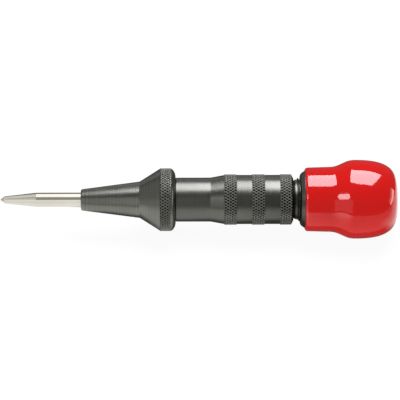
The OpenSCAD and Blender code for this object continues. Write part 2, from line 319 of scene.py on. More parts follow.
class Wiring:
    """Adds nodes to a node tree and links them."""

    def __init__(self, tree: bpy.types.NodeTree) -> None:
        """Takes the tree to work on."""
        self.tree = tree

    def node(self, kind: str, **settings: object) -> bpy.types.Node:
        """Adds a node.

        Args:
            kind: Type of the node, without its ShaderNode prefix.
            settings: Properties to set on it.

        Returns:
            The new node.
        """
        made = self.tree.nodes.new("ShaderNode" + kind)
        for key, value in settings.items():
            setattr(made, key, value)
        return made

    def feed(self, socket: Socket, value: object) -> None:
        """Links a socket or sets its value.

        Args:
            socket: The input.
            value: Another node's output, a number, a vector or a colour.
        """
        if isinstance(value, Socket):
            self.tree.links.new(value, socket)
        elif isinstance(value, tuple) and socket.type == "RGBA":
            socket.default_value = (*value, 1)
        else:
            socket.default_value = value

    def math(self, operation: str, *values: Value) -> Socket:
        """Does a sum.

        Args:
            operation: Name of the sum.
            values: Its operands.

        Returns:
            The result.
        """
        made = self.node("Math", operation=operation)
        for socket, value in zip(made.inputs, values):
            self.feed(socket, value)
        return made.outputs[0]

    def span(self, value: Value, low: float, high: float, to: Pair = (0.0, 1.0)) -> Socket:
        """Maps a range of a value smoothly to another.

        Args:
            value: The value.
            low: Start of its range.
            high: End of its range.
            to: The range that it becomes.

        Returns:
            The mapped value.
        """
        made = self.node("MapRange", interpolation_type="SMOOTHSTEP")
        for socket, entry in zip(made.inputs, (value, low, high, *to)):
            self.feed(socket, entry)
        return made.outputs[0]

    def blend(self, share: Value, first: object, second: object) -> Socket:
        """Mixes two colours.

        Args:
            share: Share of the second.
            first: First colour.
            second: Second colour.

        Returns:
            The mixed colour.
        """
        made = self.node("Mix", data_type="RGBA")
        self.feed(made.inputs[0], share)
        self.feed(made.inputs[MIX_FIRST], first)
        self.feed(made.inputs[MIX_SECOND], second)
        return made.outputs[MIX_RESULT]

    def noise(self, place: Socket, scale: Value, detail: float = 3.0) -> Socket:
        """Adds noise in space.

        Args:
            place: Coordinates.
            scale: Number of features in a metre.
            detail: Levels of detail.

        Returns:
            The noise, around 0.5.
        """
        made = self.node("TexNoise")
        self.feed(made.inputs["Vector"], place)
        self.feed(made.inputs["Scale"], scale)
        self.feed(made.inputs["Detail"], detail)
        return made.outputs[0]

    def group(self, effect: "Effect", **inputs: object) -> bpy.types.Node:
        """Places a shared effect.

        Args:
            effect: The effect.
            inputs: Values of its inputs, with _ for each space.

        Returns:
            The group node.
        """
        made = self.node("Group", node_tree=effect.tree())
        for key, value in inputs.items():
            self.feed(made.inputs[key.replace("_", " ")], value)
        return made


class Effect(Enum):
    """Effects that several finishes share, each a node group that is built once."""

    TURNING = "fine_turning"
    CLOUDS = "tone_clouds"
    WEAR = "crest_wear"

    def tree(self) -> bpy.types.NodeTree:
        """Gives the effect's node group, which is built at its first use.

        Returns:
            The node group.
        """
        made = bpy.data.node_groups.get(self.value)
        if made is None:
            made = bpy.data.node_groups.new(self.value, "ShaderNodeTree")
            made.interface.new_socket("Vector", in_out="INPUT", socket_type="NodeSocketVector")
            BUILDERS[self](made)
        return made


def open_group(
    tree: bpy.types.NodeTree, inputs: tuple[str, ...], outputs: tuple[str, ...]
) -> tuple[Wiring, bpy.types.NodeOutputs, bpy.types.NodeInputs]:
    """Gives a node group its number sockets and its end nodes.

    Args:
        tree: The group.
        inputs: Names of the inputs after Vector.
        outputs: Names of the outputs.

    Returns:
        The wiring, the input node's outputs and the output node's inputs.
    """
    for name in inputs:
        tree.interface.new_socket(name, in_out="INPUT", socket_type="NodeSocketFloat")
    for name in outputs:
        tree.interface.new_socket(name, in_out="OUTPUT", socket_type="NodeSocketFloat")
    start = tree.nodes.new("NodeGroupInput")
    end = tree.nodes.new("NodeGroupOutput")
    return Wiring(tree), start.outputs, end.inputs


def turning_lines(tree: bpy.types.NodeTree) -> None:
    """Builds fine tool lines round the axis, which fade in and out along their way.

    Args:
        tree: The empty group.
    """
    wiring, given, result = open_group(tree, ("Lines",), ("Height", "Tone"))
    along = wiring.node("SeparateXYZ")
    wiring.feed(along.inputs[0], given["Vector"])
    fine = wiring.node("TexNoise", noise_dimensions="1D")
    wiring.feed(fine.inputs["W"], wiring.math("MULTIPLY", along.outputs["X"], given["Lines"]))
    wiring.feed(fine.inputs["Scale"], 1.0)
    wiring.feed(fine.inputs["Detail"], 4.0)
    wiring.feed(fine.inputs["Roughness"], 0.65)
    patch = wiring.noise(given["Vector"], scale=260.0, detail=2.0)
    strength = wiring.span(patch, low=0.3, high=0.65, to=(0.35, 1.0))
    mean = 0.5
    swing = wiring.math("SUBTRACT", fine.outputs[0], mean)
    height = wiring.math("MULTIPLY_ADD", swing, strength, mean)
    wiring.feed(result["Height"], height)
    wiring.feed(result["Tone"], wiring.span(height, low=0.35, high=0.68))


def tone_clouds(tree: bpy.types.NodeTree) -> None:
    """Builds soft clouds of tone and small specks.

    Args:
        tree: The empty group.
    """
    wiring, given, result = open_group(tree, ("Scale",), ("Clouds", "Specks"))
    broad = wiring.noise(given["Vector"], given["Scale"], detail=4.0)
    wiring.feed(result["Clouds"], wiring.span(broad, low=0.32, high=0.68))
    specks_per_cloud = 14.0
    finer = wiring.math("MULTIPLY", given["Scale"], specks_per_cloud)
    small = wiring.noise(given["Vector"], finer, detail=2.0)
    wiring.feed(result["Specks"], wiring.span(small, low=0.62, high=0.74))


def crest_wear(tree: bpy.types.NodeTree) -> None:
    """Builds the rubbed crests of what stands furthest from the axis, and a mask of painted shade that
    darkens the knurl's pits by their depth.

    Args:
        tree: The empty group.
    """
    wiring, given, result = open_group(tree, ("Crest", "Start", "End"), ("Rubbed", "Grooves"))
    place = wiring.node("SeparateXYZ")
    wiring.feed(place.inputs[0], given["Vector"])
    x, y, z = (place.outputs[axis] for axis in "XYZ")
    squares = wiring.math("MULTIPLY_ADD", y, y, wiring.math("MULTIPLY", z, z))
    depth = wiring.math("SUBTRACT", given["Crest"], wiring.math("SQRT", squares))
    after = wiring.math("GREATER_THAN", x, given["Start"])
    zone = wiring.math("MULTIPLY", after, wiring.math("LESS_THAN", x, given["End"]))
    patches = wiring.span(wiring.noise(given["Vector"], scale=420.0), low=0.1, high=0.5)
    crests = wiring.math("MULTIPLY", wiring.span(depth, low=0.20 * MM, high=0.04 * MM), patches)
    wiring.feed(result["Rubbed"], wiring.math("MULTIPLY", crests, after))
    # Painted shade: the deepest parts of the knurl's pits are darkened
    pit_shade_mask = wiring.span(depth, low=0.26 * MM, high=0.34 * MM)
    wiring.feed(result["Grooves"], wiring.math("MULTIPLY", pit_shade_mask, zone))


BUILDERS = {Effect.TURNING: turning_lines, Effect.CLOUDS: tone_clouds, Effect.WEAR: crest_wear}


@dataclass(frozen=True)
class MetalFinish:
    """A turned or ground metal surface, with worn crests and painted shade in the pits where it is
    knurled.
    """

    name: str
    colour: Colour
    shade: Colour
    bare: Colour
    roughness: Pair
    lines_per_mm: float
    line_depth: float
    line_tint: float = 0.25
    line_roughness: float = 0.06
    cloud_scale: float = 90.0
    crest: float = 0.0
    worn_and_shaded: Pair = (0.0, 0.0)
    wear: float = 0.0
    wear_roughness: float = 0.42
    # Colour of the painted shade in the knurl's pits
    pit_shade: Colour = (0.01, 0.01, 0.009)

    def material(self) -> bpy.types.Material:
        """Builds the material at its first use.

        Returns:
            The material.
        """
        made = bpy.data.materials.get(self.name)
        if made:
            return made
        made = bpy.data.materials.new(self.name)
        made.use_nodes = True
        wiring = Wiring(made.node_tree)
        surface = made.node_tree.nodes["Principled BSDF"]
        place = wiring.node("TexCoord").outputs["Object"]
        lines = wiring.group(Effect.TURNING, Vector=place, Lines=self.lines_per_mm / MM)
        clouds = wiring.group(Effect.CLOUDS, Vector=place, Scale=self.cloud_scale)
        colour = wiring.blend(clouds.outputs["Clouds"], self.colour, self.shade)
        tint = wiring.math("MULTIPLY", lines.outputs["Tone"], self.line_tint)
        colour = wiring.blend(tint, colour, self.bare)
        rough = wiring.span(clouds.outputs["Clouds"], 0.0, 1.0, self.roughness)
        rough = wiring.math("MULTIPLY_ADD", lines.outputs["Tone"], self.line_roughness, rough)
        if self.wear:
            start, end = (station * MM for station in self.worn_and_shaded)
            worn_and_shaded = wiring.group(Effect.WEAR, Vector=place, Crest=self.crest * MM, Start=start, End=end)
            mask = wiring.math("MULTIPLY", worn_and_shaded.outputs["Rubbed"], self.wear)
            colour = wiring.blend(mask, colour, self.bare)
            # Painted shade darkens the knurl's pits
            colour = wiring.blend(worn_and_shaded.outputs["Grooves"], colour, self.pit_shade)
            rough = wiring.math("MULTIPLY_ADD", mask, self.wear_roughness, rough)
        bump = wiring.node("Bump")
        bump.inputs["Distance"].default_value = self.line_depth * MM
        wiring.feed(bump.inputs["Height"], lines.outputs["Height"])
        surface.inputs["Metallic"].default_value = 1.0
        wiring.feed(surface.inputs["Base Color"], colour)
        wiring.feed(surface.inputs["Roughness"], rough)
        wiring.feed(surface.inputs["Normal"], bump.outputs[0])
        return made


@dataclass(frozen=True)
class VinylFinish:
    """A soft dipped cover: glossy, a little wavy, with fine dust."""

    name: str
    colour: Colour
    deep: Colour
    roughness: Pair
    wave_depth: float
    refraction: float = 1.58
    cloud_scale: float = 55.0
    dust_roughness: float = 0.08
    wave_scale: float = 120.0

    def material(self) -> bpy.types.Material:
        """Builds the material.

        Returns:
            The material.
        """
        made = bpy.data.materials.new(self.name)
        made.use_nodes = True
        wiring = Wiring(made.node_tree)
        surface = made.node_tree.nodes["Principled BSDF"]
        place = wiring.node("TexCoord").outputs["Object"]
        clouds = wiring.group(Effect.CLOUDS, Vector=place, Scale=self.cloud_scale)
        colour = wiring.blend(clouds.outputs["Clouds"], self.colour, self.deep)
        rough = wiring.span(clouds.outputs["Clouds"], 0.0, 1.0, self.roughness)
        rough = wiring.math("MULTIPLY_ADD", clouds.outputs["Specks"], self.dust_roughness, rough)
        waves = wiring.noise(place, self.wave_scale, detail=1.0)
        bump = wiring.node("Bump")
        bump.inputs["Distance"].default_value = self.wave_depth * MM
        wiring.feed(bump.inputs["Height"], waves)
        surface.inputs["IOR"].default_value = self.refraction
        wiring.feed(surface.inputs["Base Color"], colour)
        wiring.feed(surface.inputs["Roughness"], rough)
        wiring.feed(surface.inputs["Normal"], bump.outputs[0])
        return made


# A finish has another name than every slot, because the frame's own materials have the slots' names
POINT_STEEL = MetalFinish(
    name="point_finish",
    colour=(0.49, 0.470, 0.417),
    shade=(0.46, 0.441, 0.391),
    bare=(0.53, 0.510, 0.455),
    roughness=(0.03, 0.06),
    lines_per_mm=3.0,
    line_depth=0.00002,
    line_roughness=0.02,
)
INNER_STEEL = MetalFinish(
    name="inner_finish",
    colour=(0.50, 0.50, 0.49),
    shade=(0.40, 0.40, 0.39),
    bare=(0.66, 0.66, 0.65),
    roughness=(0.26, 0.40),
    lines_per_mm=4.0,
    line_depth=0.004,
)
SPRING_STEEL = MetalFinish(
    name="spring_finish",
    colour=(0.42, 0.42, 0.43),
    shade=(0.30, 0.30, 0.31),
    bare=(0.60, 0.60, 0.60),
    roughness=(0.28, 0.42),
    lines_per_mm=1.0,
    line_depth=0.001,
)
NOSE_BLACK = MetalFinish(
    name="nose_finish",
    colour=(0.116, 0.117, 0.103),
    shade=(0.106, 0.107, 0.094),
    bare=(0.228, 0.228, 0.202),
    roughness=(0.27, 0.32),
    lines_per_mm=2.2,
    line_depth=0.006,
    line_tint=0.40,
    crest=11.9,
    worn_and_shaded=(60.65, 64.4),
    wear=0.9,
)
BARREL_BLACK = MetalFinish(
    name="barrel_finish",
    colour=(0.093, 0.094, 0.083),
    shade=(0.086, 0.087, 0.077),
    bare=(0.205, 0.205, 0.183),
    roughness=(0.28, 0.33),
    lines_per_mm=3.0,
    line_depth=0.003,
    line_tint=0.12,
    crest=9.55,
    worn_and_shaded=(84.6, 110.5),
    wear=0.9,
)
# Dark oxide for the cap's lip, with a brownish tint that is painted reflection of the red cover
CAP_BLACK = MetalFinish(
    name="cap_finish",
    colour=(0.078, 0.068, 0.060),
    shade=(0.066, 0.058, 0.051),
    bare=(0.18, 0.18, 0.163),
    roughness=(0.30, 0.38),
    lines_per_mm=4.0,
    line_depth=0.002,
)
RED_VINYL = VinylFinish(
    name="cover_finish",
    colour=(0.40, 0.004, 0.003),
    deep=(0.375, 0.0035, 0.0025),
    roughness=(0.05, 0.10),
    wave_depth=0.02,
)


def dress(
    piece: bpy.types.Object,
    finish: MetalFinish | VinylFinish,
    body: str,
    node: str,
    sharp: float = 28.0,
) -> None:
    """Gives a piece its shading and finish, and puts it on its body in a node's place.

    Args:
        piece: The finished mesh.
        finish: Its finish.
        body: The body that it rides on.
        node: The CAD node that it replaces.
        sharp: Angle in degrees above which an edge stays sharp.
    """
    choose(piece)
    bpy.ops.object.shade_smooth_by_angle(angle=math.radians(sharp))
    piece.data.name = piece.name
    piece.data.materials.clear()
    piece.data.materials.append(finish.material())
    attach(piece, body)
    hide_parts(node)


@dataclass
class Knurl:
    """Diamond knurl that is rolled into a bar: a net of ridges round small pits."""

    crest: float
    start: float
    end: float
    diamonds: int
    half_pitch: float = 0.92
    depth: float = 0.40
    ridge: float = 0.06
    flank: float = 0.30

    def build(self, name: str, ring: Outline) -> bpy.types.Object:
        """Models a knurled bar and keeps what lies in a ring.

        Args:
            name: Name of the new piece.
            ring: Closed outline of the ring, with its bevels.

        Returns:
            The knurled ring.
        """
        rows = math.ceil((self.end - self.start) / (2 * self.half_pitch)) + 1
        length = 2 * self.half_pitch * rows
        first = (self.start + self.end - length) / 2
        bar = self._bar(name, first + length / 2, length)
        half = length * MM / 2
        pick(bar, Part.EDGE, lambda edge: abs(edge.verts[0].co.x - edge.verts[1].co.x) > half)
        bpy.ops.mesh.subdivide(number_cuts=rows - 1)
        pick(bar, Part.FACE, lambda face: abs(face.normal.x) < LEVEL)
        bpy.ops.mesh.poke(center_mode="MEDIAN")
        pick(bar, Part.EDGE, lambda edge: self._is_square_edge(edge, first, rows))
        bpy.ops.mesh.dissolve_edges(use_verts=False)
        pick(bar, Part.FACE, lambda face: abs(face.normal.x) < LEVEL)
        bpy.ops.mesh.inset(thickness=self.ridge * MM, depth=0, use_individual=True)
        bpy.ops.mesh.inset(thickness=self.flank * MM, depth=-self.depth * MM, use_individual=True)
        bpy.ops.object.mode_set(mode="OBJECT")
        combine(bar, turn(name + "_ring", ring, self.diamonds * 2), Joinery.KEEP_SHARED)
        return bar

    def _bar(self, name: str, middle: float, length: float) -> bpy.types.Object:
        """Adds the plain bar.

        Args:
            name: Name of the new piece.
            middle: Its middle along X.
            length: Its length.

        Returns:
            The bar, in edit mode.
        """
        clear_selection()
        bpy.ops.mesh.primitive_cylinder_add(
            vertices=self.diamonds,
            radius=self.crest * MM,
            depth=length * MM,
            location=(middle * MM, 0, 0),
            rotation=(0, math.pi / 2, 0),
        )
        bar = bpy.context.object
        bar.name = name
        bpy.ops.object.transform_apply(location=True, rotation=True, scale=True)
        bpy.ops.object.mode_set(mode="EDIT")
        return bar

    def _is_square_edge(self, edge: bmesh.types.BMEdge, first: float, rows: int) -> bool:
        """Says whether an edge belongs to the squares that the diamonds are made from.

        Args:
            edge: The edge.
            first: The bar's start along X.
            rows: Number of squares along the bar.

        Returns:
            True for an edge of the squares that isn't at an end of the bar.
        """
        at = [(vertex.co.x / MM - first) / (2 * self.half_pitch) for vertex in edge.verts]
        nearness = 0.1
        on_ring = all(abs(place - round(place)) < nearness for place in at)
        at_end = round(at[0]) == round(at[1]) and round(at[0]) in (0, rows)
        return on_ring and not at_end


@dataclass
class Thread:
    """Screw thread that is cut on a sleeve."""

    crest: float
    root: float
    bore: float
    start: float
    end: float
    pitch: float
    bevel: float
    phase: float = 0.3
    foot: float = 0.15
    draft: float = 0.02
    foot_share: float = 0.45
    crest_share: float = 0.07
    steps: int = 48
    segments: int = 144

    def build(self, name: str) -> bpy.types.Object:
        """Sweeps one tooth along a helix, adds it to a sleeve and trims both ends.

        Args:
            name: Name of the new piece.

        Returns:
            The threaded sleeve.
        """
        middle = self.start - self.pitch + self.phase
        bed = self.root - self.foot
        wide = self.foot_share * self.pitch
        narrow = self.crest_share * self.pitch
        tooth = [
            (middle - wide, bed),
            (middle - wide + self.draft, self.root),
            (middle - narrow, self.crest),
            (middle + narrow, self.crest),
            (middle + wide - self.draft, self.root),
            (middle + wide, bed),
            (middle - wide, bed),
        ]
        turns = math.ceil((self.end - self.start) / self.pitch) + 2
        helix = draw(name, tooth)
        bpy.ops.object.mode_set(mode="OBJECT")
        sweep(helix, self.pitch, turns, self.steps, right_hand=True)
        lead = 2 * self.pitch
        sleeve = self._sleeve(name + "_sleeve", self.start - lead, self.end + lead, self.root, 0)
        combine(sleeve, helix, Joinery.ADD)
        ends = self._sleeve(name + "_ends", self.start, self.end, self.crest, self.bevel)
        combine(sleeve, ends, Joinery.KEEP_SHARED)
        return sleeve

    def _sleeve(
        self, name: str, start: float, end: float, radius: float, bevel: float
    ) -> bpy.types.Object:
        """Turns a sleeve.

        Args:
            name: Name of the new piece.
            start: Its start along X.
            end: Its end along X.
            radius: Its outer radius.
            bevel: Bevel of its outer edges.

        Returns:
            The sleeve.
        """
        outline = [
            (start, self.bore),
            (start, radius - bevel),
            (start + bevel, radius),
            (end - bevel, radius),
            (end, radius - bevel),
            (end, self.bore),
            (start, self.bore),
        ]
        return turn(name, outline, self.segments)


@dataclass
class PunchPoint:
    """Ground steel point: tip cone, long taper and parallel shank."""

    tip_radius: float = 0.2
    cone_end: float = 1.6
    cone_radius: float = 1.4
    shank_start: float = 13.5
    shank_radius: float = 2.75
    shank_end: float = 49.95
    edge: float = 0.4
    cone_bend: float = 0.4
    taper_bend: float = 3.0

    def build(self) -> Pieces:
        """Turns the point and dresses it.

        Returns:
            The point.
        """
        outline = [
            (0, 0),
            (0, self.tip_radius),
            (self.cone_end, self.cone_radius),
            (self.shank_start, self.shank_radius),
            (self.shank_end - self.edge, self.shank_radius),
            (self.shank_end, self.shank_radius - self.edge),
            (self.shank_end, 0),
        ]
        piece = turn(POINT, rounded(outline, {2: self.cone_bend, 3: self.taper_bend}))
        dress(piece, POINT_STEEL, "plunger", "punch_point")
        return [piece]


@dataclass
class NoseCone:
    """Black nose: slim cone, flare, knurled ring and a spigot inside the barrel."""

    front: float = 30.5
    front_radius: float = 4.05
    bevel: float = 0.35
    neck: float = 52.7
    neck_radius: float = 6.9
    ring_start: float = 60.6
    ring_end: float = 63.95
    knurl_end: float = 64.45
    ring_radius: float = 11.9
    rear: float = 66.3
    rear_radius: float = 8.3
    spigot_radius: float = 6.5
    spigot_end: float = 76.0
    guide_radius: float = 2.8
    guide_end: float = 43.95
    plunger_radius: float = 4.3
    plunger_end: float = 56.0
    chamber_radius: float = 4.955
    edge: float = 0.4
    bevel_bend: float = 0.1
    neck_bend: float = 0.5
    rim_drop: float = 0.03
    bed_slope: float = 0.15
    ring_bore: float = 7.9
    ring_bevel: float = 0.1
    diamonds: int = 66
    knurl_depth: float = 0.44
    knurl_flank: float = 0.32
    rear_steps: int = 20

    def build(self) -> Pieces:
        """Turns the nose, adds its knurled ring and dresses it.

        Returns:
            The nose.
        """
        knurl = Knurl(
            self.ring_radius,
            self.ring_start,
            self.knurl_end,
            self.diamonds,
            depth=self.knurl_depth,
            flank=self.knurl_flank,
        )
        rear = self._ring_rear()
        bed = self.ring_radius - knurl.depth - LAP
        outline = [
            (self.front, self.guide_radius),
            (self.front, self.front_radius - self.bevel),
            (self.front + self.bevel, self.front_radius),
            (self.neck, self.neck_radius),
            (self.ring_start - LAP, self.ring_radius - self.rim_drop),
            (self.ring_start + self.bed_slope, bed),
            (self.knurl_end - LAP, bed),
            *rear,
            (self.rear, self.spigot_radius),
            (self.spigot_end - self.edge, self.spigot_radius),
            (self.spigot_end, self.spigot_radius - self.edge),
            (self.spigot_end, self.chamber_radius),
            (self.plunger_end, self.chamber_radius),
            (self.plunger_end, self.plunger_radius),
            (self.guide_end, self.plunger_radius),
            (self.guide_end, self.guide_radius),
            (self.front, self.guide_radius),
        ]
        bends = {1: self.bevel_bend, 2: self.bevel_bend, 3: self.neck_bend}
        piece = turn(NOSE, rounded(outline, bends))
        ring = [
            (self.ring_start, self.ring_bore),
            (self.ring_start, self.ring_radius - self.ring_bevel),
            (self.ring_start + self.ring_bevel, self.ring_radius + LAP),
            (self.ring_end, self.ring_radius + LAP),
            rear[0],
            (self.knurl_end, self.ring_bore),
            (self.ring_start, self.ring_bore),
        ]
        combine(piece, knurl.build("nose_knurl", ring), Joinery.ADD)
        dress(piece, NOSE_BLACK, "barrel", "nose_cone")
        return [piece]

    def _ring_rear(self) -> Outline:
        """Draws the ring's rounded rear, a quarter of an ellipse.

        Returns:
            The points from the end of the knurl to the barrel.
        """
        length = self.rear - self.ring_end
        height = self.ring_radius - self.rear_radius
        first = math.asin((self.knurl_end - self.ring_end) / length)
        points = []
        for i in range(self.rear_steps + 1):
            angle = first + (math.pi / 2 - first) * i / self.rear_steps
            along = self.ring_end + length * math.sin(angle)
            points.append((along, self.rear_radius + height * math.cos(angle)))
        return points


@dataclass
class Barrel:
    """Black barrel: waist, swell, three knurled bands, shoulder, relief and thread."""

    front: float = 66.35
    bore: float = 6.55
    waist_radius: float = 8.325
    waist_end: float = 79.45
    grip: float = 84.55
    swell_bend: float = 4.0
    land_radius: float = 9.3
    band_rise: float = 0.25
    band_width: float = 4.9
    land_width: float = 5.65
    bands: int = 3
    diamonds: int = 53
    shoulder_bevel: Pair = (0.75, 1.5)
    shoulder_extra: float = 0.15
    front_edge: float = 0.2
    relief_radius: float = 7.5
    relief_length: float = 1.45
    groove_depth: float = 0.4
    groove_width: float = 0.7
    thread_radius: float = 8.3
    thread_root: float = 7.6
    thread_length: float = 13.85
    pitch: float = 1.25
    step_start: float = 78.0
    step_end: float = 80.0
    step_hole: float = 3.03
    hammer_bore: float = 6.0
    edge: float = 0.4
    tuck: float = 0.2
    inner_wall: float = 0.5
    sleeve_wall: float = 0.8

    def __post_init__(self) -> None:
        """Works out the places along the axis."""
        self.band_pitch = self.band_width + self.land_width
        grip_length = self.bands * self.band_pitch - self.land_width
        self.shoulder = self.grip + grip_length + self.shoulder_extra
        self.thread_start = self.shoulder + self.relief_length
        self.rear = self.thread_start + self.thread_length
        self.crest = self.land_radius + self.band_rise

    def build(self) -> Pieces:
        """Turns the barrel, adds bands and thread and dresses it.

        Returns:
            The barrel.
        """
        piece = turn(BARREL, self._core())
        first = self._band(0, self.band_width, (self.band_rise, self.band_rise))
        copies = [copy_along(first, self.band_pitch * i) for i in range(1, self.bands - 1)]
        last = self._band(self.bands - 1, self.band_width + self.shoulder_extra, self.shoulder_bevel)
        for band in (first, *copies, last):
            combine(piece, band, Joinery.ADD)
        thread = Thread(
            crest=self.thread_radius,
            root=self.thread_root,
            bore=self.hammer_bore + self.inner_wall,
            start=self.thread_start,
            end=self.rear,
            pitch=self.pitch,
            bevel=self.edge,
        )
        combine(piece, thread.build("barrel_thread"), Joinery.ADD)
        dress(piece, BARREL_BLACK, "barrel", "barrel")
        return [piece]

    def _band(self, place: int, width: float, rear_bevel: Pair) -> bpy.types.Object:
        """Models one knurled band.

        Args:
            place: Its place in the row.
            width: Its width.
            rear_bevel: Length and height of its rear bevel.

        Returns:
            The band.
        """
        start = self.grip + place * self.band_pitch
        end = start + width
        inner = self.bore + self.inner_wall
        ring = [
            (start, inner),
            (start, self.land_radius),
            (start + self.band_rise, self.crest + LAP),
            (end - rear_bevel[0], self.crest + LAP),
            (end, self.crest - rear_bevel[1]),
            (end, inner),
            (start, inner),
        ]
        return Knurl(self.crest, start, end, self.diamonds).build(f"barrel_band_{place}", ring)

    def _core(self) -> Outline:
        """Draws the barrel without bands and thread: outside from front to rear, then the bore.

        Returns:
            The closed outline.
        """
        bed = self.crest - Knurl.depth - LAP
        outline = [
            (self.front, self.bore),
            (self.front, self.waist_radius - self.front_edge),
            (self.front + self.front_edge, self.waist_radius),
            (self.waist_end, self.waist_radius),
        ]
        for i in range(self.bands):
            start = self.grip + i * self.band_pitch
            wall = start + self.tuck
            is_last = i == self.bands - 1
            end = start + self.band_width - (self.shoulder_bevel[0] if is_last else self.tuck)
            outline += [(wall, self.land_radius), (wall + LAP, bed), (end - LAP, bed)]
            if not is_last:
                outline.append((end, self.land_radius))
        outline += [
            (self.shoulder, self.relief_radius),
            (self.shoulder + self.groove_width / 2, self.relief_radius - self.groove_depth),
            (self.shoulder + self.groove_width, self.relief_radius),
            (self.thread_start + self.edge, self.relief_radius),
            (self.thread_start + self.edge, self.hammer_bore + self.sleeve_wall),
            (self.rear - self.edge, self.hammer_bore + self.sleeve_wall),
            (self.rear - self.edge, self.hammer_bore),
            (self.step_end, self.hammer_bore),
            (self.step_end, self.step_hole),
            (self.step_start, self.step_hole),
            (self.step_start, self.bore),
            (self.front, self.bore),
        ]
        return rounded(outline, {3: self.swell_bend})


@dataclass
class AdjustingCap:
    """Steel cap with a bevelled lip, under a soft red cover with a neck and a bulb."""

    lip: float = 113.3
    lip_radius: float = 9.2
    lip_bevel: Pair = (0.45, 0.75)
    lip_slope: float = 1.25
    mouth: float = 115.1
    mouth_radius: float = 12.05
    mouth_bend: float = 1.1
    wall: float = 1.2
    gap: float = 0.05
    neck_radius: float = 12.28
    bulb: float = 133.9
    bulb_radius: float = 14.9
    slope: float = 24.0
    hollow_bend: float = 9.0
    bulb_bend: float = 8.4
    crown_length: float = 16.1
    crown_side: float = 2.5
    crown_end: float = 4.35
    thread_bore: float = 8.35
    thread_depth: float = 129.0
    spring_bore: float = 6.2
    roof: float = 139.9
    lip_bend: float = 0.12
    mouth_steps: int = 8
    bend_steps: int = 10
    crown_steps: int = 40
    cover_segments: int = 160
    cover_sharp: float = 40.0

    def build(self) -> Pieces:
        """Turns the steel cap and its cover and dresses both.

        Returns:
            The cap and its cover.
        """
        inset = self.wall + self.gap
        core = [
            (self.roof, 0),
            (self.roof, self.spring_bore),
            (self.thread_depth, self.spring_bore),
            (self.thread_depth, self.thread_bore),
            (self.lip, self.thread_bore),
            (self.lip, self.lip_radius),
            (self.lip + self.lip_bevel[0], self.lip_radius + self.lip_bevel[1]),
            (self.lip + self.lip_bevel[0] + self.lip_slope, self.mouth_radius - inset),
            *self._bulb(inset),
        ]
        steel = turn(CORE, rounded(core, {5: self.lip_bend, 6: self.lip_bend}))
        dress(steel, CAP_BLACK, "cap", "cap_core")
        bend = self.mouth_bend
        cover = [
            *reversed(self._bulb(self.wall)),
            (self.mouth, self.mouth_radius - self.wall),
            *arc(self.mouth + bend, self.mouth_radius - bend, bend, 180, 90, self.mouth_steps),
            *self._bulb(0),
        ]
        soft = turn(COVER, cover, self.cover_segments)
        dress(soft, RED_VINYL, "cap", "cap_cover", self.cover_sharp)
        return [steel, soft]

    def _bulb(self, inset: float) -> Outline:
        """Draws the cover from the neck over the bulb to the rear centre.

        Args:
            inset: Distance inside the outer surface.

        Returns:
            The outline.
        """
        slope = math.radians(self.slope)
        bends = self.hollow_bend + self.bulb_bend
        rise = self.bulb_radius - self.neck_radius
        slant = (rise - bends * (1 - math.cos(slope))) / math.sin(slope)
        hollow = self.bulb - bends * math.sin(slope) - slant * math.cos(slope)
        hollow_centre = self.neck_radius + self.hollow_bend
        steps = self.bend_steps
        points = arc(hollow, hollow_centre, self.hollow_bend + inset, -90, -90 + self.slope, steps)
        bulb_centre = self.bulb_radius - self.bulb_bend
        points += arc(self.bulb, bulb_centre, self.bulb_bend - inset, 90 + self.slope, 90, steps)
        for i in range(1, self.crown_steps + 1):
            angle = math.pi / 2 * i / self.crown_steps
            along = (self.crown_length - inset) * math.sin(angle) ** (2 / self.crown_side)
            out = (self.bulb_radius - inset) * max(math.cos(angle), 0) ** (2 / self.crown_end)
            points.append((self.bulb + along, out if i < self.crown_steps else 0))
        return points


@dataclass
class Coil:
    """Compression spring of round wire, which may widen and lean."""

    name: str
    node: str
    body: str
    wire: float
    start: float
    end: float
    start_radius: float
    end_radius: float
    turns: int
    squash_anchor: float
    squash_keep: float
    lean_pivot: float = 0.0
    lean: float = 0.0
    sides: int = 12
    steps: int = 28
    sharp: float = 60.0

    def build(self) -> Pieces:
        """Winds the wire, widens and leans it ring by ring and dresses it.

        Returns:
            The spring.
        """
        clear_selection()
        bpy.ops.mesh.primitive_circle_add(
            vertices=self.sides,
            radius=self.wire / 2 * MM,
            location=(self.start * MM, 0, self.start_radius * MM),
            rotation=(math.pi / 2, 0, 0),
        )
        piece = bpy.context.object
        piece.name = self.name
        bpy.ops.object.transform_apply(location=True, rotation=True, scale=True)
        lead = (self.end - self.start) / self.turns
        sweep(piece, lead, self.turns, self.steps, right_hand=False)
        self._shape(piece)
        dress(piece, SPRING_STEEL, self.body, self.node, self.sharp)
        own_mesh(piece)
        return [piece]

    def _shape(self, piece: bpy.types.Object) -> None:
        """Widens the coil towards its end and leans its start aside.

        Args:
            piece: The straight coil.
        """
        tilt = math.sin(math.radians(self.lean))
        for vertex in piece.data.vertices:
            along = vertex.co.x / MM
            share = (along - self.start) / (self.end - self.start)
            out = Vector((0, vertex.co.y, vertex.co.z)).normalized()
            vertex.co += out * (self.end_radius - self.start_radius) * share * MM
            vertex.co.z += (along - self.lean_pivot) * tilt * (1 - share) * MM


@dataclass
class StrikingTrain:
    """Pieces inside that carry the stroke to the hammer; their solids stay as they are."""

    nodes: tuple[str, ...] = ("plunger", "trip_pin", "hammer", "spring_seat")

    def build(self) -> Pieces:
        """Gives the solids their finish.

        Returns:
            The solids.
        """
        solids = [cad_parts[name] for name in self.nodes]
        for solid in solids:
            solid.data.materials.clear()
            solid.data.materials.append(INNER_STEEL.material())
        return solids


